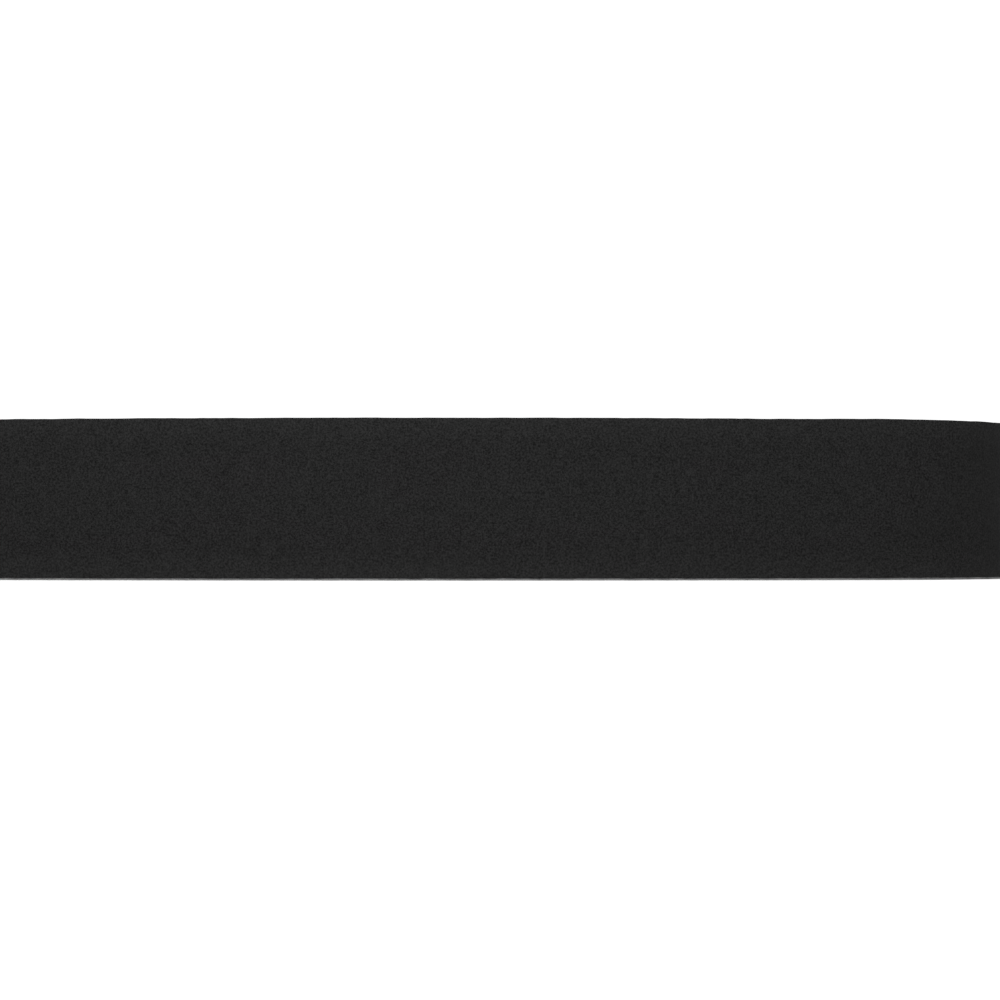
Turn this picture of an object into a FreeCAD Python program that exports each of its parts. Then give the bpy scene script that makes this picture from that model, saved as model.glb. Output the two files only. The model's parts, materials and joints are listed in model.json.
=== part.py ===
"""Grip tape roll for a racket handle, partly unrolled and lying on its side.

The tape is a laminate of four layers: soft face, felt, adhesive and release film. It is wound
face outwards on a paperboard core whose axis is +Z. The outermost turn lets go of the roll along
a vertical line at the front, and a free tail stands on its long edge from there towards -X.
Origin: the core's axis, at the level that the roll rests on. Millimetres.
"""

import FreeCAD, Part
import math
import os

import Sketcher

os.makedirs("parts", exist_ok=True)

SIZES = [
    ("tape_width", 25.0, "width of the tape, which is the height of the roll"),
    ("face_thick", 0.8, "soft polyurethane face"),
    ("felt_thick", 0.9, "non-woven felt under the face"),
    ("glue_thick", 0.1, "adhesive on the back of the felt"),
    ("film_thick", 0.1, "release film over the adhesive"),
    ("slit_slant", 0.3, "rise of the slanting slit, from the felt to the face"),
    ("film_recess", 0.15, "how far adhesive and film stop short of the felt's edges"),
    ("turn_gap", 0.1, "air between one turn and the next"),
    ("turns", 6, "whole turns on the core"),
    ("core_bore", 25.4, "inside diameter of the core"),
    ("core_wall", 2.3, "wall of the core"),
    ("pad_thick", 0.15, "double-sided pad that holds the first turn on the core"),
    ("pad_start", 50.0, "degrees from the front of the core to the pad"),
    ("pad_angle", 70.0, "degrees of the core that the pad covers"),
    ("pad_margin", 2.5, "bare core above and below the pad"),
    ("tail_length", 240.0, "free tail, from the line where it leaves the roll"),
    ("tail_bend", 360.0, "radius of the curl that the tail keeps"),
    ("seam_gap", 0.1, "gap at a line where a moving piece bends"),
    ("taper_length", 65.0, "length of the slanting cut at the tail's end"),
    ("taper_tip", 9.0, "width that the slanting cut leaves at the tail's end"),
    ("tab_length", 12.0, "release film that reaches past the tail's end"),
    ("tab_corner", 2.5, "corner radius of that film tab"),
    ("finish_start", 45.0, "from the bend line to the finishing tape"),
    ("finish_length", 110.0, "length of the finishing tape"),
    ("finish_width", 12.0, "width of the finishing tape"),
    ("finish_thick", 0.15, "thickness of the finishing tape"),
]

FRONT_ANGLE = -math.pi / 2
BACK_ANGLE = math.pi / 2
AXIS_Y = -2  # a sketch's own vertical axis
ORIGIN = (-1, 1)  # a sketch's own origin point
START, END, CENTRE = 1, 2, 3  # the points of an arc, or START and END of a line
UP = FreeCAD.Vector(0, 0, 1)

doc = FreeCAD.newDocument("grip_tape_roll")
sheet = doc.addObject("Spreadsheet::Sheet", "sizes")
for row, (alias, value, note) in enumerate(SIZES, 1):
    sheet.set(f"A{row}", note)
    sheet.set(f"B{row}", str(value))
    sheet.setAlias(f"B{row}", alias)
doc.recompute()

# Lengths that follow from the sheet, written as the document's own expressions.
CORE_RADIUS = "(sizes.core_bore / 2 + sizes.core_wall)"
FIRST_RADIUS = f"({CORE_RADIUS} + sizes.pad_thick)"
FILM_TOP = "sizes.film_thick"
GLUE_TOP = f"({FILM_TOP} + sizes.glue_thick)"
FELT_TOP = f"({GLUE_TOP} + sizes.felt_thick)"
FACE_TOP = f"({FELT_TOP} + sizes.face_thick)"
PITCH = f"({FACE_TOP} + sizes.turn_gap)"
FRONT_REACH = f"({FIRST_RADIUS} + sizes.turns * {PITCH} + {FACE_TOP})"
TAIL_CENTRE = f"(sizes.tail_bend - {FRONT_REACH})"
LAYER_HEIGHT = "(sizes.tape_width - sizes.slit_slant)"
BACKING_HEIGHT = f"({LAYER_HEIGHT} - 2 * sizes.film_recess)"
TAIL_END = "sizes.tail_length"
TAB_START = f"({TAIL_END} + sizes.seam_gap)"

# Each layer's inner and outer side, measured from the free side of the film, then its lower
# edge and its height.
LAYERS = {
    "release_film": ("0", FILM_TOP, "sizes.film_recess", BACKING_HEIGHT),
    "adhesive": (FILM_TOP, GLUE_TOP, "sizes.film_recess", BACKING_HEIGHT),
    "felt": (GLUE_TOP, FELT_TOP, "0", LAYER_HEIGHT),
    "face": (FELT_TOP, FACE_TOP, "sizes.slit_slant", LAYER_HEIGHT),
}


def number(expression):
    """The value that an expression has now."""
    return float(sheet.evalExpression(expression))


def origin_plane(body, role):
    return next(f for f in body.Origin.OriginFeatures if f.Role == role)


def new_body(name):
    body = doc.addObject("PartDesign::Body", name)
    body.Label = name
    return body


def new_sketch(body, purpose, role="XY_Plane", level="0"):
    """An empty sketch on one of the body's origin planes, raised by level."""
    sketch = body.newObject("Sketcher::SketchObject", f"{body.Name}_{purpose}")
    sketch.AttachmentSupport = (origin_plane(body, role), [""])
    sketch.MapMode = "FlatFace"
    sketch.setExpression("AttachmentOffset.Base.z", level)
    return sketch


def bind(sketch, kind, places, expression, name):
    """Adds a constraint whose value is an expression, under a name of its own."""
    start_value = sheet.evalExpression(expression)
    value = math.radians(float(start_value)) if kind == "Angle" else float(start_value)
    index = sketch.addConstraint(Sketcher.Constraint(kind, *places, value))
    sketch.renameConstraint(index, name)
    sketch.setExpression(f"Constraints.{name}", expression)


def join(sketch, first, second):
    sketch.addConstraint(Sketcher.Constraint("Coincident", *first, *second))


def hold_on(sketch, point, curve):
    sketch.addConstraint(Sketcher.Constraint("PointOnObject", *point, curve))


def add_arc(sketch, centre_y, radius, from_angle, to_angle):
    circle = Part.Circle(FreeCAD.Vector(0, centre_y, 0), UP, radius)
    return sketch.addGeometry(Part.ArcOfCircle(circle, from_angle, to_angle))


def add_line(sketch, first, second):
    """A line between two points of the sketch's arcs, joined to both."""
    ends = [sketch.getPoint(*first), sketch.getPoint(*second)]
    line = sketch.addGeometry(Part.LineSegment(*ends))
    join(sketch, (line, START), first)
    join(sketch, (line, END), second)
    return line


def pad_up(body, sketch, height):
    pad = body.newObject("PartDesign::Pad", f"{body.Name}_pad")
    pad.Profile = sketch
    pad.setExpression("Length", height)
    sketch.Visibility = False
    return pad


def spiral_side(sketch, side_name, depth):
    """One side of a wound layer: half turns about two centres, half a pitch apart.

    The half turns on the -X side are about the core's axis, and those on the +X side are about
    a point half a pitch nearer the front, so each starts where the last one ends.
    """
    turns = int(number("sizes.turns"))
    shift = number(PITCH) / 2
    radius = number(f"{FIRST_RADIUS} + {depth}")
    arcs = []
    for half in range(2 * turns):
        on_right = half % 2 == 1
        span = (FRONT_ANGLE, BACK_ANGLE) if on_right else (BACK_ANGLE, FRONT_ANGLE + 2 * math.pi)
        arcs.append(add_arc(sketch, -shift if on_right else 0, radius + half * shift, *span))
    bind(sketch, "Radius", (arcs[0],), f"{FIRST_RADIUS} + {depth}", f"{side_name}_radius")
    hold_on(sketch, (arcs[0], END), AXIS_Y)
    for half, arc in enumerate(arcs):
        if half == 1:
            hold_on(sketch, (arc, CENTRE), AXIS_Y)
            places = (arc, CENTRE, *ORIGIN)
            bind(sketch, "DistanceY", places, f"{PITCH} / 2", f"{side_name}_shift")
        else:
            join(sketch, (arc, CENTRE), (arcs[1], CENTRE) if half % 2 else ORIGIN)
        if half:
            join(sketch, (arcs[half - 1], START), (arc, END))
        hold_on(sketch, (arc, START), AXIS_Y)
    return arcs


def wound_layer(layer):
    """A layer of the tape on the core, from its square inner end to the front bend line."""
    inner, outer, level, height = LAYERS[layer]
    body = new_body(f"wound_{layer}")
    sketch = new_sketch(body, "outline", level=level)
    inner_arcs = spiral_side(sketch, "inner", inner)
    outer_arcs = spiral_side(sketch, "outer", outer)
    add_line(sketch, (inner_arcs[0], END), (outer_arcs[0], END))
    add_line(sketch, (inner_arcs[-1], START), (outer_arcs[-1], START))
    pad_up(body, sketch, height)
    return body


def curved_ribbon(name, centre, outer_radius, thick, near, far, level, height):
    """A strip that follows an arc on the -X side, between two angles from the front."""
    body = new_body(name)
    sketch = new_sketch(body, "outline", level=level)
    front = 2 * math.pi + FRONT_ANGLE
    near_angle, far_angle = (math.radians(number(angle)) for angle in (near, far))
    arcs = []
    for radius in (number(outer_radius), number(f"{outer_radius} - {thick}")):
        arcs.append(add_arc(sketch, number(centre), radius, front - far_angle, front - near_angle))
    outer, inner = arcs
    if centre == "0":
        join(sketch, (outer, CENTRE), ORIGIN)
    else:
        hold_on(sketch, (outer, CENTRE), AXIS_Y)
        bind(sketch, "DistanceY", (*ORIGIN, outer, CENTRE), centre, "centre_y")
    join(sketch, (inner, CENTRE), (outer, CENTRE))
    bind(sketch, "Radius", (outer,), outer_radius, "outer_radius")
    bind(sketch, "Radius", (inner,), f"{outer_radius} - {thick}", "inner_radius")
    for end_name, point, angle in (("far", START, far), ("near", END, near)):
        line = add_line(sketch, (outer, point), (inner, point))
        hold_on(sketch, (outer, CENTRE), line)
        bind(sketch, "Angle", (line,), f"90 deg - {angle}", f"{end_name}_angle")
    pad_up(body, sketch, height)
    return body


def along_tail(distance):
    """The angle about the tail's centre at a distance along the tail."""
    return f"({distance} / sizes.tail_bend * 1 rad)"


def tail_ribbon(name, depth, thick, start, end, level, height):
    """A strip on the tail, whose outer side lies depth inside the face's surface."""
    radius = f"(sizes.tail_bend - {depth})"
    near, far = along_tail(start), along_tail(end)
    return curved_ribbon(name, TAIL_CENTRE, radius, thick, near, far, level, height)


def cut_taper(body):
    """Cuts the tail's upper edge down in a straight slant to its narrow end."""
    sketch = new_sketch(body, "taper", "XZ_Plane")
    taper_start = f"({TAIL_END} - sizes.taper_length)"
    start_x = f"sizes.tail_bend * sin({along_tail(taper_start)})"
    end_x = f"sizes.tail_bend * sin({along_tail(TAIL_END)})"
    top, tip = "sizes.tape_width", "sizes.taper_tip"
    clear_x = f"{end_x} + {top}"
    corners = [(start_x, top), (end_x, tip), (clear_x, tip), (clear_x, f"2 * {top}")]
    corners.append((start_x, f"2 * {top}"))
    points = [FreeCAD.Vector(-number(x), number(z), 0) for x, z in corners]
    lines = []
    for first, second in zip(points, points[1:] + points[:1]):
        lines.append(sketch.addGeometry(Part.LineSegment(first, second)))
    for index, line in enumerate(lines):
        join(sketch, (line, END), (lines[(index + 1) % len(lines)], START))
    for index, (x, z) in enumerate(corners):
        bind(sketch, "DistanceX", (lines[index], START, *ORIGIN), x, f"corner_{index}_x")
        bind(sketch, "DistanceY", (*ORIGIN, lines[index], START), z, f"corner_{index}_z")
    doc.recompute()
    before = body.Shape.Volume
    pocket = body.newObject("PartDesign::Pocket", f"{body.Name}_taper_cut")
    pocket.Profile = sketch
    pocket.Type = "ThroughAll"
    pocket.Midplane = True
    doc.recompute()
    if body.Shape.Volume >= before:
        raise RuntimeError(f"the taper cut nothing off {body.Name}")
    return body


def tail_layer(layer):
    """A layer of the free tail, from the bend line to its tapered end."""
    inner, outer, level, height = LAYERS[layer]
    depth, thick = f"({FACE_TOP} - {outer})", f"({outer} - {inner})"
    start = "sizes.seam_gap"
    body = tail_ribbon(f"tail_{layer}", depth, thick, start, TAIL_END, level, height)
    return cut_taper(body)


def film_tab():
    """The end of the release film, past the tape, with rounded corners to pull it by."""
    tab_end = f"({TAB_START} + sizes.tab_length)"
    depth, thick = f"({FACE_TOP} - {FILM_TOP})", FILM_TOP
    level, height = "sizes.film_recess", "(sizes.taper_tip - sizes.film_recess)"
    body = tail_ribbon("release_film_tab", depth, thick, TAB_START, tab_end, level, height)
    doc.recompute()
    pad = body.Tip
    far_x = min(vertex.X for vertex in pad.Shape.Vertexes)
    corners = []
    for index, edge in enumerate(pad.Shape.Edges, 1):
        flat = edge.BoundBox.ZLength < edge.Length / 2
        middle = edge.CenterOfMass
        if flat and abs(middle.x - far_x) < number("sizes.film_thick"):
            corners.append(f"Edge{index}")
    fillet = body.newObject("PartDesign::Fillet", "release_film_tab_corners")
    fillet.Base = (pad, corners)
    fillet.setExpression("Radius", "sizes.tab_corner")
    return body


def core_tube():
    body = new_body("core_tube")
    sketch = new_sketch(body, "ring")
    centre = FreeCAD.Vector(0, 0, 0)
    for name, expression in (("bore_radius", "sizes.core_bore / 2"), ("radius", CORE_RADIUS)):
        ring = sketch.addGeometry(Part.Circle(centre, UP, number(expression)))
        join(sketch, (ring, CENTRE), ORIGIN)
        bind(sketch, "Radius", (ring,), expression, name)
    pad_up(body, sketch, "sizes.tape_width")
    return body


def core_pad():
    """The double-sided pad between the core and the first turn's film."""
    near = "(sizes.pad_start * 1 deg)"
    far = "((sizes.pad_start + sizes.pad_angle) * 1 deg)"
    height = "(sizes.tape_width - 2 * sizes.pad_margin)"
    thick, level = "sizes.pad_thick", "sizes.pad_margin"
    return curved_ribbon("core_pad", "0", FIRST_RADIUS, thick, near, far, level, height)


def finishing_tape():
    """The strip that will close the finished grip, parked on the back of the tail's film."""
    end = "(sizes.finish_start + sizes.finish_length)"
    level = "((sizes.tape_width - sizes.finish_width) / 2)"
    thick, height = "sizes.finish_thick", "sizes.finish_width"
    return tail_ribbon("finishing_tape", FACE_TOP, thick, "sizes.finish_start", end, level, height)


nodes = [core_tube(), core_pad()]
nodes += [wound_layer(layer) for layer in LAYERS]
nodes += [tail_layer(layer) for layer in LAYERS]
nodes += [film_tab(), finishing_tape()]
doc.recompute()

for item in doc.Objects:
    if "Invalid" in item.State or "Error" in item.State:
        raise RuntimeError(f"{item.Name} did not compute: {item.State}")
for node in nodes:
    if node.Shape.isNull() or not node.Shape.isValid():
        raise RuntimeError(f"{node.Label} has no valid shape")
for node in nodes:
    node.Shape.exportStep(f"parts/{node.Label}.step")
    box = node.Shape.BoundBox
    spans = f"x {box.XMin:.2f}..{box.XMax:.2f} y {box.YMin:.2f}..{box.YMax:.2f}"
    print(f"{node.Label}: {node.Shape.Volume:.1f} mm3, {spans} z {box.ZMin:.2f}..{box.ZMax:.2f}")
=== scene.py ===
"""Grip tape roll: the looks of a partly unrolled racket grip tape, built around its CAD model.

Every length is in metres, in the frame of the CAD model: the core's axis is +Z, the tape leaves
the roll at its front, on the -Y side, and the free tail runs from there towards -X.
"""

import json
import math

import bmesh
import bpy
from bpy.props import FloatProperty, FloatVectorProperty, PointerProperty
from mathutils import Matrix, Vector, noise


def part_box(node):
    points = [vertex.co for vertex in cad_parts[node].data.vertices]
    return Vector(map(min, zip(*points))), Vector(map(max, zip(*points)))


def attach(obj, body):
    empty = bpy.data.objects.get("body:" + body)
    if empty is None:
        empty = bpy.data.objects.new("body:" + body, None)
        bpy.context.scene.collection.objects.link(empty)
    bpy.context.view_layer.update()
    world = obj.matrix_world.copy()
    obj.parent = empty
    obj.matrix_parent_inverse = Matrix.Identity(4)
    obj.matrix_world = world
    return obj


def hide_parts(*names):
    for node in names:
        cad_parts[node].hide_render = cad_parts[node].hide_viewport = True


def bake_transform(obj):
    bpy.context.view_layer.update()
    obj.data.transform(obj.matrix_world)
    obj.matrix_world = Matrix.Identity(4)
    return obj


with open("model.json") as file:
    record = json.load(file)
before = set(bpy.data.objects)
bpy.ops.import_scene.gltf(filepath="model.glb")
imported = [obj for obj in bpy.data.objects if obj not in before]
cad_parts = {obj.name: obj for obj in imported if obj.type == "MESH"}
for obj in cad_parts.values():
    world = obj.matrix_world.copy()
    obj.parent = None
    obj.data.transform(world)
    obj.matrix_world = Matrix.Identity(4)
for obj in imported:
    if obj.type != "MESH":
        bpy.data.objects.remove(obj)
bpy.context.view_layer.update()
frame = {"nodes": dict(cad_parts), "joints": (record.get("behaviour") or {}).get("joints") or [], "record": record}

bl_info = {
    "name": "Grip Tape Roll",
    "version": (1, 0, 0),
    "blender": (4, 5, 0),
    "location": "View3D > Sidebar > Grip Tape",
    "description": "Builds a partly unrolled grip tape roll around its CAD model",
    "category": "Object",
}

MM = 0.001
HALF_TURN = math.pi
WHOLE_TURN = 2 * math.pi
UP = Vector((0, 0, 1))
SHARP_EDGE = math.radians(38)  # faces that meet at more than this are shaded apart
STAND_UP = Matrix(((1, 0, 0, 0), (0, 0, 1, 0), (0, 1, 0, 0), (0, 0, 0, 1)))  # a flat grid's Y to Z


# ---- Where the tape runs, from the CAD model --------------------------------------------------


def joint_place(name):
    """Where the hinge of a joint is."""
    return Vector(next(j for j in frame["joints"] if j["name"] == name)["pos_m"])


FILM_THICK = 0.1 * MM
SEAM_GAP = 0.1 * MM  # between the end of the tape and the film's tab
BEND_LINE = joint_place("tail_bend")
PEEL_LINE = joint_place("film_peel")
FRONT_REACH = -BEND_LINE.y  # from the core's axis to the tape's face, at the front
TURN_PITCH = FRONT_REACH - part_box("wound_face")[1].y  # how much the roll grows in one turn
TAPE_THICK = FRONT_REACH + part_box("wound_release_film")[0].y + FILM_THICK
TAPE_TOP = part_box("wound_face")[1].z
CORE_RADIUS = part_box("core_tube")[1].x
BORE_RADIUS = frame["record"]["mounts"][0]["dims"]["r_mm"] * MM
TURNS = int((FRONT_REACH - TAPE_THICK - CORE_RADIUS) / TURN_PITCH)
FIRST_RADIUS = FRONT_REACH - TAPE_THICK - TURNS * TURN_PITCH
TAIL_ANGLE = 2 * math.atan2(PEEL_LINE.y - BEND_LINE.y - TAPE_THICK, -PEEL_LINE.x)
TAIL_RADIUS = -PEEL_LINE.x / math.sin(TAIL_ANGLE) + TAPE_THICK  # of the curled tail's face
TAIL_CENTRE = TAIL_RADIUS - FRONT_REACH
TAIL_LENGTH = TAIL_RADIUS * TAIL_ANGLE - SEAM_GAP / 2
TAPER_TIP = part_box("release_film_tab")[1].z  # where the slanting cut ends


class Leg:
    """A stretch of the tape that follows an arc; radius is that of the film's free side."""

    def __init__(self, centre, radius, angle, from_back=False):
        self.centre = centre
        self.radius = radius
        self.angle = angle
        self.side = -1 if from_back else 1
        self.length = (radius + TAPE_THICK / 2) * angle

    def place(self, share, depth, height):
        """The point at a share of the leg, a depth from the film's free side, and a height."""
        turned = self.angle * share
        radius = self.side * (self.radius + depth)
        return Vector((-radius * math.sin(turned), self.centre - radius * math.cos(turned), height))


def half_turn(number):
    """A half turn on the core: even ones pass on the -X side, odd ones on the +X side."""
    odd = number % 2 == 1
    centre = -TURN_PITCH / 2 if odd else 0.0
    return Leg(centre, FIRST_RADIUS + number * TURN_PITCH / 2, HALF_TURN, from_back=odd)


class Route:
    """Legs that follow each other."""

    def __init__(self, legs):
        self.legs = legs
        self.length = sum(leg.length for leg in legs)

    def place(self, along, depth, height):
        """The point at a length along the route, a depth and a height."""
        for leg in self.legs[:-1]:
            if along < leg.length:
                return leg.place(along / leg.length, depth, height)
            along -= leg.length
        last = self.legs[-1]
        return last.place(along / last.length, depth, height)


HALF_TURNS = [half_turn(number) for number in range(2 * TURNS)]
TAIL_LEG = Leg(TAIL_CENTRE, TAIL_RADIUS - TAPE_THICK, TAIL_LENGTH / TAIL_RADIUS)
TAPE = Route([*HALF_TURNS, TAIL_LEG])
TAIL_START = TAPE.length - TAIL_LEG.length
SPLICE = TAIL_START - HALF_TURNS[-1].length  # where the wound pieces end and the tail ones start
DRIFT_FADE = 20 * MM  # the stretch in which wound turns come back into line, before the last one
FILM_HELD = 8 * MM  # how far past the roll the film is still held down, without creases
FILM_LOOSENS = 45 * MM  # the stretch after that, in which its creases reach their full height
STRIP_THICK = 0.15 * MM
STRIP_LIFT_REACH = 7 * MM  # how much of the finishing tape's end has lifted
TAB_FOLD = 4 * MM  # a stretch of the film's tab, from its start
TAB_STEP = 0.4 * MM  # length of a face along the tab
CORE_ROUND = 0.25 * MM  # rounding of the core's ends
CORE_ROWS = 49
CORE_SIDES = 180
PLY_THICK = 0.38 * MM
PLY_LEAD = 38 * MM  # how far the edge of the core's innermost ply climbs in one turn
PLY_RAMP = 0.02  # the share of a turn in which the bore steps back at that edge
PLY_REACH = 0.5 * MM  # how far from the bore the step is gone


class Band:
    """One layer of the tape: its depths from the film's free side, and its two edges."""

    def __init__(self, inner, layer):
        low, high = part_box(f"wound_{layer}")
        self.inner = inner
        self.outer = TAPE_THICK - (FRONT_REACH + low.y)
        self.low = low.z
        self.high = high.z
        self.middle = (low.z + high.z) / 2


FILM = Band(0.0, "release_film")
ADHESIVE = Band(FILM.outer, "adhesive")
FELT = Band(ADHESIVE.outer, "felt")
FACE = Band(FELT.outer, "face")


# ---- What a user would change -----------------------------------------------------------------


def length_setting(name, description, value):
    return FloatProperty(name=name, description=description, default=value, unit="LENGTH", precision=5)


def colour_setting(name, description, value):
    return FloatVectorProperty(
        name=name, description=description, default=value, size=3, min=0, max=1, subtype="COLOR"
    )


class GripTapeSizes(bpy.types.PropertyGroup):
    """Small shapes that the CAD model leaves plain."""

    taper_length: length_setting("Taper Length", "Length of the tail's slanting cut", 65 * MM)
    edge_round: length_setting("Edge Rounding", "Radius of the face's long edges", 0.16 * MM)
    crown: length_setting("Crown", "How far the face falls away towards its edges", 0.24 * MM)
    edge_wave: length_setting("Edge Wave", "Unevenness of the slit edges", 0.05 * MM)
    surface_wave: length_setting("Surface Wave", "Height of the face's soft lumps", 0.03 * MM)
    turn_drift: length_setting("Turn Drift", "How far wound turns stand out of line", 0.25 * MM)
    film_wave: length_setting("Film Wave", "Height of the release film's soft waves", 0.03 * MM)
    film_crease: length_setting("Film Crease", "Height of the creases across the free film", 0.22 * MM)
    tape_step: length_setting("Tape Step", "Length of a face along the free tape", 0.5 * MM)
    wound_step: length_setting("Wound Step", "Length of a face along the wound tape", 0.7 * MM)
    tab_corner: length_setting("Tab Corner", "Corner radius of the film's pull tab", 2.5 * MM)
    strip_lift: length_setting("Strip Lift", "How far the finishing tape's end lifts", 0.5 * MM)
    seam_step: length_setting("Ply Step", "Step at the edge of the core's innermost ply", 0.12 * MM)


class GripTapeColours(bpy.types.PropertyGroup):
    """Base colours of the finishes."""

    face: colour_setting("Face", "Soft matt polyurethane", (0.0111, 0.0111, 0.0111))
    felt: colour_setting("Felt", "Non-woven backing", (0.26, 0.26, 0.26))
    adhesive: colour_setting("Adhesive", "Milky adhesive", (0.55, 0.52, 0.43))
    film: colour_setting("Film", "Release film", (0.58, 0.61, 0.62))
    board: colour_setting("Paperboard", "Core", (0.40, 0.27, 0.16))
    vinyl: colour_setting("Vinyl", "Finishing tape", (0.012, 0.012, 0.013))
    pad: colour_setting("Pad", "Double-sided pad", (0.72, 0.70, 0.62))
    floor: colour_setting("Floor", "Floor that the roll lies on", (0.86, 0.86, 0.86))


class GripTapeStage(bpy.types.PropertyGroup):
    """Camera and light."""

    heading: FloatProperty(
        name="Heading",
        description="Angle between the view and the square-on view of the bend line",
        default=math.radians(11.61),
        subtype="ANGLE",
    )
    tilt: FloatProperty(
        name="Tilt",
        description="Upward tilt of the camera",
        default=math.radians(0.7522),
        subtype="ANGLE",
    )
    distance: length_setting("Distance", "From the camera to the bend line", 466.36 * MM)
    aside: length_setting("Aside", "How far right of the view's axis the bend line is", 61.47 * MM)
    eye_level: length_setting("Eye Level", "Height of the camera above the floor", 6.33 * MM)
    lens: FloatProperty(name="Lens", description="Focal length in millimetres", default=108.0)
    surround: FloatProperty(name="Surround", description="Light from all round", default=0.35)
    key: FloatProperty(name="Key", description="Power of the near soft box", default=0.42, unit="POWER")
    overhead: FloatProperty(
        name="Overhead", description="Power of the large overhead soft box", default=15.0, unit="POWER"
    )
    floor_glow: FloatProperty(name="Floor Glow", description="Light of the floor itself", default=0.48)


def sizes():
    return bpy.context.scene.grip_tape_sizes


def colours():
    return bpy.context.scene.grip_tape_colours


def stage_settings():
    return bpy.context.scene.grip_tape_stage


# ---- Finishes ---------------------------------------------------------------------------------


class Amount:
    """A number that varies over a surface, on which the usual arithmetic adds Math nodes."""

    def __init__(self, finish, socket):
        self.finish = finish
        self.socket = socket

    def __add__(self, other):
        return self.finish.maths("ADD", self, other)

    __radd__ = __add__

    def __sub__(self, other):
        return self.finish.maths("SUBTRACT", self, other)

    def __rsub__(self, other):
        return self.finish.maths("SUBTRACT", other, self)

    def __mul__(self, other):
        return self.finish.maths("MULTIPLY", self, other)

    __rmul__ = __mul__

    def __gt__(self, other):
        return self.finish.maths("GREATER_THAN", self, other)

    def __abs__(self):
        return self.finish.maths("ABSOLUTE", self)


class Finish:
    """A material and its nodes."""

    def __init__(self, name, roughness, specular=0.5):
        self.material = bpy.data.materials.new(name)
        self.material.use_nodes = True
        self.tree = self.material.node_tree
        self.shader = self.tree.nodes["Principled BSDF"]
        self.shader.inputs["Roughness"].default_value = roughness
        self.shader.inputs["Specular IOR Level"].default_value = specular
        self.place = self.node("ShaderNodeTexCoord").outputs["Object"]

    def node(self, kind, settings=None, inputs=None):
        """A node of any kind: its settings first, then the values or links of its sockets."""
        node = self.tree.nodes.new(kind)
        for name, value in (settings or {}).items():
            setattr(node, name, value)
        for name, value in (inputs or {}).items():
            self.feed(node.inputs[name], value)
        return node

    def feed(self, socket, value):
        """Links a socket to a varying value, or sets it to a plain one."""
        if isinstance(value, Amount):
            value = value.socket
        if isinstance(value, bpy.types.NodeSocket):
            self.tree.links.new(value, socket)
        else:
            socket.default_value = value

    def kept(self, name):
        """The node for a value that the mesh keeps at each of its points."""
        return self.node("ShaderNodeAttribute", {"attribute_type": "GEOMETRY", "attribute_name": name})

    def follow_tape(self):
        """Reads places along, through and across the flat tape from here on."""
        self.place = self.kept("flat_place").outputs["Vector"]

    def mark(self, name):
        """A number that the mesh keeps at each of its points."""
        return Amount(self, self.kept(name).outputs["Fac"])

    def maths(self, operation, first, second=0.0):
        """What one Math node makes of two numbers."""
        node = self.node("ShaderNodeMath", {"operation": operation}, {0: first, 1: second})
        return Amount(self, node.outputs[0])

    def noise(self, size, detail=2.0, roughness=0.5, stretch=(1, 1, 1), distortion=0.0):
        """Noise whose largest features are about size across, from 0 to 1."""
        place = self.place
        if stretch != (1, 1, 1):
            place = self.node("ShaderNodeMapping", None, {"Vector": place, "Scale": stretch}).outputs[0]
        inputs = {
            "Vector": place,
            "Scale": 1 / size,
            "Detail": detail,
            "Roughness": roughness,
            "Distortion": distortion,
        }
        return Amount(self, self.node("ShaderNodeTexNoise", None, inputs).outputs["Fac"])

    def cells(self, size, feature="F1"):
        """Distances of a cell pattern whose cells are about size across."""
        inputs = {"Vector": self.place, "Scale": 1 / size}
        node = self.node("ShaderNodeTexVoronoi", {"feature": feature}, inputs)
        return Amount(self, node.outputs["Distance"])

    def spread(self, amount, low, high, to_low=0.0, to_high=1.0):
        """The amount with low..high taken to to_low..to_high, and held there."""
        inputs = {0: amount, 1: low, 2: high, 3: to_low, 4: to_high}
        node = self.node("ShaderNodeMapRange", {"clamp": True}, inputs)
        return Amount(self, node.outputs[0])

    def blend(self, share, first, second):
        """A colour between two colours."""
        settings = {"data_type": "RGBA", "blend_type": "MIX"}
        node = self.node("ShaderNodeMix", settings, {0: share, 6: first, 7: second})
        return node.outputs[2]

    def coordinate(self, axis):
        """X, Y or Z of the place, which is along, through or across where it follows the tape."""
        node = self.node("ShaderNodeSeparateXYZ", None, {0: self.place})
        return Amount(self, node.outputs[axis])

    def from_axis(self):
        """Distance from the core's axis."""
        flat = self.node(
            "ShaderNodeVectorMath", {"operation": "MULTIPLY"}, {0: self.place, 1: (1, 1, 0)}
        ).outputs[0]
        node = self.node("ShaderNodeVectorMath", {"operation": "LENGTH"}, {0: flat})
        return Amount(self, node.outputs["Value"])

    def colour(self, socket):
        self.feed(self.shader.inputs["Base Color"], socket)

    def roughness(self, amount):
        self.feed(self.shader.inputs["Roughness"], amount)

    def bump(self, height, depth, strength):
        """Relief that is depth high where height goes from 0 to 1, at a share of its strength."""
        inputs = {"Height": height, "Distance": depth, "Strength": strength}
        node = self.node("ShaderNodeBump", None, inputs)
        self.feed(self.shader.inputs["Normal"], node.outputs[0])


def scaled(colour, factor):
    """An opaque colour, lighter or darker."""
    return tuple(min(1.0, part * factor) for part in colour) + (1.0,)


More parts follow.
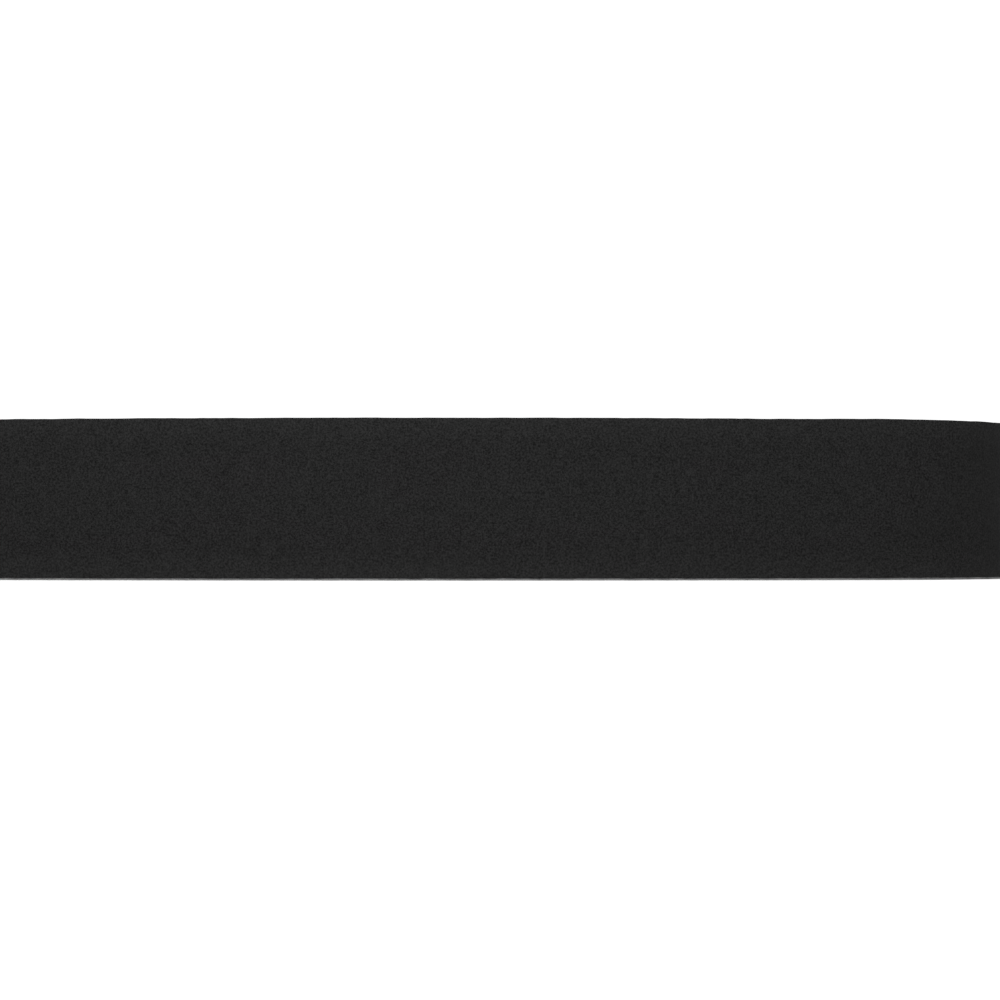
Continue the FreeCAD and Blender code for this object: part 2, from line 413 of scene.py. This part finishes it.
def face_finish():
    """Soft matt polyurethane with a fine suede-like grain and faint creases, and a painted sheen towards both long
    edges.
    """
    finish = Finish("matt_polyurethane", 0.85, specular=0.07)
    finish.follow_tape()
    grain = finish.noise(0.31 * MM, roughness=0.75)
    pebbles = finish.cells(0.55 * MM, feature="SMOOTH_F1")
    creases = finish.noise(1.8 * MM, detail=4.0, roughness=0.6, distortion=1.2)
    tone = finish.spread(grain, 0.36, 0.64) * 0.8 + finish.spread(creases, 0.3, 0.7) * 0.2
    base = colours().face
    # Painted sheen: the face is painted lighter towards both long edges. The sheen rises from 8 mm to 12 mm off a
    # line 0.35 mm above the middle, and both the dark and pale ends of the grain carry it.
    sheen_free_middle = FACE.middle + 0.35 * MM
    edge = finish.spread(abs(finish.coordinate("Z") - sheen_free_middle), 8 * MM, 12 * MM)
    dark = finish.blend(edge, scaled(base, 0.20), scaled(base, 0.36))
    pale = finish.blend(edge, scaled(base, 1.80), scaled(base, 2.13))
    finish.colour(finish.blend(tone, dark, pale))
    finish.roughness(finish.spread(grain, 0.3, 0.7, 0.75, 0.95))
    finish.bump(grain * 0.6 + pebbles * 0.4 + creases * 0.3, 0.08 * MM, 0.5)
    return finish.material


def felt_finish():
    """Pressed non-woven fibres."""
    finish = Finish("pressed_felt", 0.95, specular=0.1)
    finish.follow_tape()
    fibres = finish.noise(0.5 * MM, detail=4.0, roughness=0.7, stretch=(1, 1, 1.6), distortion=2.0)
    tufts = finish.noise(2.2 * MM)
    tone = finish.spread(fibres, 0.3, 0.7) * 0.7 + finish.spread(tufts, 0.3, 0.7) * 0.3
    base = colours().felt
    finish.colour(finish.blend(tone, scaled(base, 0.5), scaled(base, 1.5)))
    finish.bump(fibres, 0.15 * MM, 0.6)
    return finish.material


def adhesive_finish():
    """Milky, slightly stringy adhesive."""
    finish = Finish("milky_adhesive", 0.4)
    finish.follow_tape()
    strings = finish.noise(1.0 * MM, detail=3.0, roughness=0.6, distortion=1.0)
    base = colours().adhesive
    finish.colour(finish.blend(strings, scaled(base, 0.8), scaled(base, 1.15)))
    finish.roughness(finish.spread(strings, 0.3, 0.7, 0.3, 0.5))
    finish.bump(strings, 0.05 * MM, 0.4)
    return finish.material


def film_finish():
    """Milky release film: the felt's grain shows through, and its creases carry a painted highlight, lighter lines
    along them.
    """
    finish = Finish("milky_film", 0.32)
    finish.follow_tape()
    haze = finish.noise(7 * MM, detail=3.0, roughness=0.55)
    print_through = finish.noise(0.7 * MM, detail=3.0, roughness=0.6)
    tone = finish.spread(haze, 0.3, 0.7) * 0.6 + finish.spread(print_through, 0.3, 0.7) * 0.4
    creases = finish.mark("crease")
    base = colours().film
    film = finish.blend(tone, scaled(base, 0.82), scaled(base, 1.06))
    # Painted highlight: the film is painted lighter along its creases.
    finish.colour(finish.blend(creases * 1.2, film, scaled(base, 1.4)))
    finish.roughness(finish.spread(haze, 0.3, 0.7, 0.24, 0.42) + creases * 0.2)
    ripples = finish.noise(5 * MM, stretch=(1, 1, 0.25), distortion=0.6)
    finish.bump(ripples * 0.8 + print_through * 0.2, 0.12 * MM, 0.5)
    return finish.material


def board_finish():
    """Grey-brown paperboard: fibres and flecks, a seam where a ply ends, plies on the end faces."""
    finish = Finish("rolled_paperboard", 0.85, specular=0.25)
    base = colours().board
    fibres = finish.noise(0.9 * MM, detail=4.0, roughness=0.7, stretch=(1, 1, 0.5), distortion=1.5)
    flecks = finish.cells(1.1 * MM) > 0.93
    paper = finish.blend(finish.spread(fibres, 0.25, 0.75), scaled(base, 0.75), scaled(base, 1.25))
    paper = finish.blend(flecks * 0.5, paper, scaled(base, 0.4))

    height = finish.coordinate("Z")
    turned = finish.maths("ARCTAN2", finish.coordinate("Y"), finish.coordinate("X"))
    climb = turned * (1 / WHOLE_TURN) + height * (1 / PLY_LEAD)
    seam = finish.spread(finish.maths("FRACT", climb), 0.0, 0.015, 0.8, 0.0)
    paper = finish.blend(seam, paper, scaled(base, 0.35))

    to_line = finish.maths("PINGPONG", finish.from_axis(), PLY_THICK / 2)
    lines = finish.spread(to_line, 0.0, 0.08 * MM, 1.0, 0.0)
    end_depth = 0.2 * MM
    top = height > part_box("core_tube")[1].z - end_depth
    low = finish.spread(height, 0.0, end_depth, 1.0, 0.0)
    finish.colour(finish.blend(lines * (top + low) * 0.45, paper, scaled(base, 0.45)))
    finish.bump(fibres, 0.06 * MM, 0.5)
    return finish.material


def vinyl_finish():
    """Smooth black vinyl with a faint orange peel."""
    finish = Finish("black_vinyl", 0.35)
    finish.follow_tape()
    peel = finish.noise(0.8 * MM)
    rub = finish.noise(6 * MM, detail=4.0, roughness=0.65)
    base = colours().vinyl
    finish.colour(finish.blend(rub, scaled(base, 0.8), scaled(base, 1.5)))
    finish.roughness(finish.spread(rub, 0.3, 0.7, 0.28, 0.46))
    finish.bump(peel, 0.03 * MM, 0.4)
    return finish.material


def pad_finish():
    """Tissue carrier of the double-sided pad."""
    finish = Finish("pad_tissue", 0.6, specular=0.4)
    tissue = finish.noise(1.2 * MM, detail=3.0, roughness=0.6)
    base = colours().pad
    finish.colour(finish.blend(tissue, scaled(base, 0.85), scaled(base, 1.1)))
    finish.bump(tissue, 0.03 * MM, 0.4)
    return finish.material


def floor_finish():
    """Plain white sweep with a little light of its own, so that it stays white to its edge."""
    finish = Finish("floor_white", 0.9, specular=0.0)
    mottle = finish.noise(0.6, detail=1.0)
    base = colours().floor
    finish.colour(finish.blend(mottle, scaled(base, 0.995), scaled(base, 1.005)))
    finish.shader.inputs["Emission Color"].default_value = (1, 1, 1, 1)
    finish.shader.inputs["Emission Strength"].default_value = stage_settings().floor_glow
    return finish.material


# ---- Making the pieces ------------------------------------------------------------------------


def finished(bm, name, material):
    """Turns a mesh's faces outwards and puts it in the scene as a piece."""
    bmesh.ops.recalc_face_normals(bm, faces=bm.faces[:])
    if bm.calc_volume(signed=True) < 0:
        bmesh.ops.reverse_faces(bm, faces=bm.faces[:])
    for face in bm.faces:
        face.smooth = True
    for edge in bm.edges:
        edge.smooth = not edge.is_manifold or edge.calc_face_angle(0.0) < SHARP_EDGE
    mesh = bpy.data.meshes.new(name)
    bm.to_mesh(mesh)
    bm.free()
    mesh.materials.append(material)
    piece = bpy.data.objects.new(name, mesh)
    bpy.context.scene.collection.objects.link(piece)
    return piece


def flat_strip(start, end, low, high, step, rows, inner=0.0):
    """A flat upright sheet: X runs along the tape, Y is the depth and Z the height."""
    bm = bmesh.new()
    stretch = Matrix.Diagonal((end - start, high - low, 1, 1))
    middle = Matrix.Translation(((start + end) / 2, inner, (low + high) / 2))
    bmesh.ops.create_grid(
        bm, x_segments=max(1, round((end - start) / step)), y_segments=rows, size=0.5,
        matrix=middle @ STAND_UP @ stretch,
    )
    return bm


def round_off(bm, geometry, kind, radius, segments):
    """Rounds off edges, or the corners at verts, with arcs."""
    bmesh.ops.bevel(
        bm, geom=geometry, affect=kind, offset=radius, offset_type="OFFSET", segments=segments,
        profile=0.5, material=-1,
    )


def thicken(bm, thick):
    """Gives a flat sheet its thickness; returns the edges round its outer side."""
    grown = bmesh.ops.extrude_face_region(bm, geom=bm.faces[:])
    verts = [item for item in grown["geom"] if isinstance(item, bmesh.types.BMVert)]
    bmesh.ops.translate(bm, verts=verts, vec=(0, thick, 0))
    bmesh.ops.recalc_face_normals(bm, faces=bm.faces[:])
    outside = set(verts)
    square = math.radians(80)
    rim = [edge for edge in bm.edges if outside.issuperset(edge.verts)]
    return [edge for edge in rim if edge.calc_face_angle(0.0) > square]


def cut(bm, place, away, clear_outer=False):
    """Cuts a mesh along a plane, and takes off what lies outside it if clear_outer says so."""
    geometry = bm.verts[:] + bm.edges[:] + bm.faces[:]
    bmesh.ops.bisect_plane(bm, geom=geometry, plane_co=place, plane_no=away, clear_outer=clear_outer)


def cut_taper(bm):
    """Takes the upper corner off the tail's end in one straight slanting cut."""
    run, fall = sizes().taper_length, TAPE_TOP - TAPER_TIP
    cut(bm, (TAPE.length - run, 0, TAPE_TOP), (fall, 0, run), clear_outer=True)


def smooth_step(value):
    """0 up to 0 and 1 from 1, with an even slope between them."""
    value = max(0.0, min(1.0, value))
    return value * value * (3 - 2 * value)


def near_edge(distance, reach):
    """1 at an edge, falling to 0 at reach from it."""
    return smooth_step(1 - distance / reach)


def uneven(along, across, level):
    """Smooth noise from -1 to 1; every use has a level of its own, so that none repeats another."""
    return noise.noise(Vector((along, across, level)))


def wavy(along, across, level):
    """Unevenness with two scales, from about -1.5 to 1.5."""
    return uneven(along, across, level) + 0.5 * uneven(along * 2.7, across * 2.7, level + 16)


def drift(along):
    """How far a wound turn stands above its neighbours; nothing on the outermost turn."""
    wander = uneven(along / (37 * MM), 0.5, 133.1)
    fade = near_edge(along - SPLICE + DRIFT_FADE, DRIFT_FADE)
    return sizes().turn_drift * (0.5 + 0.5 * wander) * fade


def wind(bm, move):
    """Winds a flat strip; each point keeps its flat place for the materials."""
    flat = bm.verts.layers.float_vector.new("flat_place")
    for vert in bm.verts:
        vert[flat] = vert.co
        along, depth, height = vert.co
        swell, lift = move(along, depth, height)
        vert.co = TAPE.place(along, depth + swell, height + lift + drift(along))


def face_moves(along, depth, height):
    """Crowned outside, soft lumps, and slightly uneven slit edges."""
    share = (depth - FACE.inner) / (FACE.outer - FACE.inner)
    across = abs(height - FACE.middle) / (FACE.high - FACE.middle)
    lumps = uneven(along / (11 * MM), height / (7 * MM), 3.7)
    swell = sizes().surface_wave * (lumps - 0.4) - sizes().crown * across**14
    reach = 1.2 * MM
    top = near_edge(FACE.high - height, reach) * (wavy(along / (3.6 * MM), 0.5, 11.3) - 0.2)
    low = near_edge(height - FACE.low, reach) * (wavy(along / (1.9 * MM), 0.5, 41.9) + 0.4)
    return swell * share, sizes().edge_wave * (top + low)


def felt_moves(along, depth, height):
    """Slit edges that rise and fall a little, never below the floor."""
    wave = wavy(along / (2.1 * MM), depth / (0.6 * MM), 71.5)
    reach = 1.0 * MM
    top = near_edge(FELT.high - height, reach) * wave
    low = near_edge(height - FELT.low, reach) * max(0.0, 0.5 + 0.5 * wave)
    return 0.0, 0.6 * sizes().edge_wave * (top + low)


def looseness(along, height):
    """Where the film clings to the adhesive and where it lies loose, from about -0.7 to 0.7."""
    return uneven(along / (24 * MM), height / (24 * MM), 17.9)


def creased(along, height):
    """How sharply the film is creased: thin lines across the free tail, none where it is wound."""
    fold = uneven(along / (7 * MM), height / (45 * MM), 91.3)
    free = smooth_step((along - TAIL_START - FILM_HELD) / FILM_LOOSENS)
    return near_edge(abs(fold), 0.1) * max(0.0, 0.45 + looseness(along, height)) * free


def film_ripple(along, height):
    """How far the film stands off the adhesive."""
    wave = sizes().film_wave * (0.5 + 0.5 * looseness(along, height))
    return sizes().film_crease * creased(along, height) + wave


def mark_creases(mesh):
    """Keeps at each point of a piece of film how sharply it is creased, for its finish."""
    marks = mesh.attributes.new("crease", "FLOAT", "POINT")
    for mark, place in zip(marks.data, mesh.attributes["flat_place"].data):
        mark.value = creased(place.vector.x, place.vector.z)


def film_moves(along, depth, height):
    """Ripples, mostly on the film's free side."""
    share = 1 - 0.8 * depth / FILM.outer
    return -film_ripple(along, height) * share, 0.0


def no_moves(along, depth, height):
    """No unevenness."""
    return 0.0, 0.0


def bend_with_tail(piece):
    """Bakes a piece's place in the scene into its mesh."""
    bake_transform(piece)


class Layer:
    """How one layer of the tape is laid: its band, finish and unevenness, and its grid."""

    def __init__(self, name, slot, band, material, move=no_moves, rows=2, rounding=0.0):
        self.name = name
        self.slot = slot
        self.band = band
        self.material = material
        self.move = move
        self.rows = rows
        self.rounding = rounding

    def strip(self, part, start, end, step):
        """The layer between two places on the tape, as a piece in place of that part's CAD node."""
        band = self.band
        bm = flat_strip(start, end, band.low, band.high, step, self.rows, band.inner)
        if end == TAPE.length:
            cut_taper(bm)
        rim = thicken(bm, band.outer - band.inner)
        if self.rounding:
            open_rim = [edge for edge in rim if any(vert.co.x != SPLICE for vert in edge.verts)]
            round_off(bm, open_rim, "EDGES", self.rounding, segments=4)
        wind(bm, self.move)
        piece = finished(bm, f"{self.name}_{part}", self.material)
        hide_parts(f"{part}_{self.name}")
        return piece

    def lay(self):
        """The last half turn and the tail in one piece, then all the turns under them."""
        tail = self.strip("tail", SPLICE, TAPE.length, sizes().tape_step)
        bend_with_tail(tail)
        wound = self.strip("wound", 0.0, SPLICE, sizes().wound_step)
        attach(wound, "roll")
        return tail, wound


def tail_length_at(x, depth):
    """How far along the tape the tail's point with this X lies."""
    turned = math.asin(-x / (TAIL_LEG.radius + depth))
    return TAIL_START + turned / TAIL_LEG.angle * TAIL_LEG.length


def film_tab(material):
    """The film's rounded end, which reaches on past the tape's end."""
    start = TAPE.length + SEAM_GAP
    end = tail_length_at(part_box("release_film_tab")[0].x, FILM.outer)
    bm = flat_strip(start, end, FILM.low, TAPER_TIP, step=end - start, rows=1)
    corners = [vert for vert in bm.verts if vert.co.x > (start + end) / 2]
    round_off(bm, corners, "VERTICES", sizes().tab_corner, segments=10)
    thicken(bm, FILM_THICK)
    for number in range(1, round((end - start) / TAB_STEP)):
        cut(bm, (start + number * TAB_STEP, 0, 0), (1, 0, 0))
    wind(bm, film_moves)
    tab = finished(bm, "release_film_tab_end", material)
    fold_end = TAPE.place(start + TAB_FOLD, 0, 0)
    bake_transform(tab)
    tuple(fold_end)
    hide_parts("release_film_tab")
    return tab


def core_wall(low, high):
    """The outline of the core's wall on one side of the axis, as edges without a face."""
    bm = flat_strip(BORE_RADIUS, CORE_RADIUS, low, high, step=CORE_RADIUS - BORE_RADIUS, rows=1)
    round_off(bm, bm.verts[:], "VERTICES", CORE_ROUND, segments=3)
    bmesh.ops.delete(bm, geom=bm.faces[:], context="FACES_ONLY")
    tall = [edge for edge in bm.edges if edge.calc_length() > (high - low) / 2]
    bmesh.ops.subdivide_edges(bm, edges=tall, cuts=CORE_ROWS - 1)
    return bm


def ply_step(place):
    """How far the bore is set back behind the edge of the innermost ply; nothing on the outside."""
    turned = math.atan2(place.y, place.x) / WHOLE_TURN
    phase = (place.z / PLY_LEAD + turned) % 1.0
    step = smooth_step(phase / PLY_RAMP) * (1 - phase)
    inside = near_edge(math.hypot(place.x, place.y) - BORE_RADIUS, PLY_REACH)
    return inside * step * sizes().seam_step


def declare_cloth(layer, tail, wound, rests_on):
    """Works out the area of each of the two pieces of a cloth layer; nothing uses it."""
    width = layer.band.high - layer.band.low
    cut_off = sizes().taper_length * (layer.band.high - TAPER_TIP) / 2
    for piece, length, lost in ((tail, TAPE.length - SPLICE, cut_off), (wound, SPLICE, 0)):
        area = width * length - lost


# ---- Operators --------------------------------------------------------------------------------


class GRIPTAPE_OT_face(bpy.types.Operator):
    """Lays the soft matt face of the tape"""

    bl_idname = "grip_tape.face"
    bl_label = "Lay Face"

    def execute(self, context):
        layer = Layer(
            "face", "grip_face", FACE, face_finish(), face_moves, rows=22, rounding=sizes().edge_round
        )
        declare_cloth(layer, *layer.lay(), rests_on=["wound_felt"])
        return {"FINISHED"}


class GRIPTAPE_OT_felt(bpy.types.Operator):
    """Lays the non-woven felt under the face"""

    bl_idname = "grip_tape.felt"
    bl_label = "Lay Felt"

    def execute(self, context):
        layer = Layer("felt", "felt", FELT, felt_finish(), felt_moves, rows=8)
        declare_cloth(layer, *layer.lay(), rests_on=["core_tube"])
        return {"FINISHED"}


class GRIPTAPE_OT_adhesive(bpy.types.Operator):
    """Lays the adhesive on the back of the felt"""

    bl_idname = "grip_tape.adhesive"
    bl_label = "Lay Adhesive"

    def execute(self, context):
        Layer("adhesive", "adhesive", ADHESIVE, adhesive_finish()).lay()
        return {"FINISHED"}


class GRIPTAPE_OT_release_film(bpy.types.Operator):
    """Lays the release film over the adhesive, and makes the end that reaches past the tape"""

    bl_idname = "grip_tape.release_film"
    bl_label = "Lay Release Film"

    def execute(self, context):
        material = film_finish()
        layer = Layer("release_film", "release_film", FILM, material, film_moves, rows=12)
        for piece in (*layer.lay(), film_tab(material)):
            mark_creases(piece.data)
        return {"FINISHED"}


class GRIPTAPE_OT_core(bpy.types.Operator):
    """Rolls the paperboard core, with the edge of its innermost ply standing out in the bore"""

    bl_idname = "grip_tape.core"
    bl_label = "Roll Core"

    def execute(self, context):
        low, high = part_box("core_tube")
        bm = core_wall(low.z, high.z)
        bmesh.ops.spin(
            bm, geom=bm.edges[:], cent=(0, 0, 0), axis=UP, dvec=(0, 0, 0), angle=WHOLE_TURN,
            steps=CORE_SIDES, use_merge=True, use_normal_flip=False, use_duplicate=False,
        )
        for vert in bm.verts:
            outward = vert.co * Vector((1, 1, 0))
            vert.co += outward.normalized() * ply_step(vert.co)
        piece = finished(bm, "paper_core", board_finish())
        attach(piece, "roll")
        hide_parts("core_tube")
        return {"FINISHED"}


class GRIPTAPE_OT_core_pad(bpy.types.Operator):
    """Finishes the double-sided pad between the core and the first turn"""

    bl_idname = "grip_tape.core_pad"
    bl_label = "Finish Core Pad"

    def execute(self, context):
        pad = frame["nodes"]["core_pad"]
        material = pad_finish()
        for slot in pad.material_slots:
            slot.material = material
        return {"FINISHED"}


class GRIPTAPE_OT_finishing_tape(bpy.types.Operator):
    """Sticks the finishing tape on the back of the tail's film"""

    bl_idname = "grip_tape.finishing_tape"
    bl_label = "Stick Finishing Tape"

    def execute(self, context):
        low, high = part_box("finishing_tape")
        start, end = (tail_length_at(x, 0.0) for x in (high.x, low.x))
        bm = flat_strip(start, end, low.z, high.z, step=1.0 * MM, rows=6, inner=-STRIP_THICK)
        thicken(bm, STRIP_THICK)

        def lifted(along, depth, height):
            """Lies on the film's ripples, with its end lifted."""
            lift = sizes().strip_lift * near_edge(end - along, STRIP_LIFT_REACH)
            return -lift - film_ripple(along, height), 0.0

        wind(bm, lifted)
        piece = finished(bm, "finishing_strip", vinyl_finish())
        bend_with_tail(piece)
        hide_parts("finishing_tape")
        return {"FINISHED"}


# ---- Stage ------------------------------------------------------------------------------------


FLOOR_RADIUS = 6.0
FLOOR_DROP = 0.02 * MM  # keeps the floor clear of the tape's lower edge
BACKDROP_LIGHT = 1.1  # a little over white
KEY_SIZE = (0.20, 0.14)
KEY_PLACE = Vector((-0.07, -0.22, 0.09))  # from the point that both lights are turned to
OVERHEAD_SIZE = (2.4, 2.4)
OVERHEAD_PLACE = Vector((0, 0, 1.5))


def white_surround(strength):
    """A surround that looks white behind the object and lights it at its own strength."""
    world = bpy.data.worlds.new("white_surround")
    world.use_nodes = True
    nodes, links = world.node_tree.nodes, world.node_tree.links
    lighting = nodes["Background"]
    lighting.inputs["Color"].default_value = (1, 1, 1, 1)
    lighting.inputs["Strength"].default_value = strength
    backdrop = nodes.new("ShaderNodeBackground")
    backdrop.inputs["Color"].default_value = (1, 1, 1, 1)
    backdrop.inputs["Strength"].default_value = BACKDROP_LIGHT
    choice = nodes.new("ShaderNodeMixShader")
    seen = nodes.new("ShaderNodeLightPath").outputs["Is Camera Ray"]
    links.new(seen, choice.inputs["Fac"])
    links.new(lighting.outputs[0], choice.inputs[1])
    links.new(backdrop.outputs[0], choice.inputs[2])
    links.new(choice.outputs[0], nodes["World Output"].inputs["Surface"])
    return world


def soft_box(name, size, power, target, place):
    """A rectangular light at a place, turned to a target."""
    light = bpy.data.lights.new(name, "AREA")
    light.shape, light.size, light.size_y = "RECTANGLE", *size
    light.energy = power
    lamp = bpy.data.objects.new(name, light)
    lamp.location = place
    lamp.rotation_euler = (target - place).to_track_quat("-Z", "Y").to_euler()
    lamp.visible_camera = False
    bpy.context.scene.collection.objects.link(lamp)


def stand_camera(settings):
    """A camera at the settings' place, level but for its tilt."""
    ahead = Vector((math.sin(settings.heading), math.cos(settings.heading), 0))
    right = Vector((ahead.y, -ahead.x, 0))
    camera = bpy.data.objects.new("camera", bpy.data.cameras.new("camera"))
    camera.data.lens = settings.lens
    camera.data.sensor_width = 36.0
    camera.data.clip_start = 0.01
    place = BEND_LINE - ahead * settings.distance - right * settings.aside
    camera.location = Vector((place.x, place.y, settings.eye_level))
    look = ahead * math.cos(settings.tilt) + UP * math.sin(settings.tilt)
    camera.rotation_euler = look.to_track_quat("-Z", "Y").to_euler()
    bpy.context.scene.collection.objects.link(camera)
    return camera


class GRIPTAPE_OT_stage(bpy.types.Operator):
    """Sets up the floor, the light and the camera"""

    bl_idname = "grip_tape.stage"
    bl_label = "Set Stage"

    def execute(self, context):
        settings = stage_settings()
        bm = bmesh.new()
        bmesh.ops.create_circle(bm, cap_ends=True, segments=96, radius=FLOOR_RADIUS)
        bmesh.ops.translate(bm, verts=bm.verts[:], vec=(0, 0, -FLOOR_DROP))
        floor = finished(bm, "floor", floor_finish())

        context.scene.world = white_surround(settings.surround)
        context.scene.view_settings.view_transform = "Standard"
        target = Vector((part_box("tail_face")[0].x / 3, BEND_LINE.y, TAPE_TOP / 2))
        soft_box("key_box", KEY_SIZE, settings.key, target, target + KEY_PLACE)
        soft_box("overhead_box", OVERHEAD_SIZE, settings.overhead, target, target + OVERHEAD_PLACE)
        context.scene.camera = stand_camera(settings)
        return {"FINISHED"}


# ---- The add-on -------------------------------------------------------------------------------


OPERATORS = (
    GRIPTAPE_OT_face,
    GRIPTAPE_OT_felt,
    GRIPTAPE_OT_adhesive,
    GRIPTAPE_OT_release_film,
    GRIPTAPE_OT_core,
    GRIPTAPE_OT_core_pad,
    GRIPTAPE_OT_finishing_tape,
    GRIPTAPE_OT_stage,
)


class GRIPTAPE_PT_panel(bpy.types.Panel):
    """Lists the pieces and their settings"""

    bl_label = "Grip Tape Roll"
    bl_idname = "GRIPTAPE_PT_panel"
    bl_space_type = "VIEW_3D"
    bl_region_type = "UI"
    bl_category = "Grip Tape"

    def draw(self, context):
        for operator in OPERATORS:
            self.layout.operator(operator.bl_idname)
        scene = context.scene
        for group in (scene.grip_tape_sizes, scene.grip_tape_colours, scene.grip_tape_stage):
            box = self.layout.box()
            for name in group.__annotations__:
                box.prop(group, name)


GROUPS = {
    "grip_tape_sizes": GripTapeSizes,
    "grip_tape_colours": GripTapeColours,
    "grip_tape_stage": GripTapeStage,
}


def register():
    for cls in (*GROUPS.values(), *OPERATORS, GRIPTAPE_PT_panel):
        bpy.utils.register_class(cls)
    for name, group in GROUPS.items():
        setattr(bpy.types.Scene, name, PointerProperty(type=group))


def unregister():
    for name in GROUPS:
        delattr(bpy.types.Scene, name)
    for cls in reversed((*GROUPS.values(), *OPERATORS, GRIPTAPE_PT_panel)):
        bpy.utils.unregister_class(cls)


def main():
    register()
    for operator in OPERATORS:
        group, name = operator.bl_idname.split(".")
        getattr(getattr(bpy.ops, group), name)()


if __name__ == "__main__":
    main()
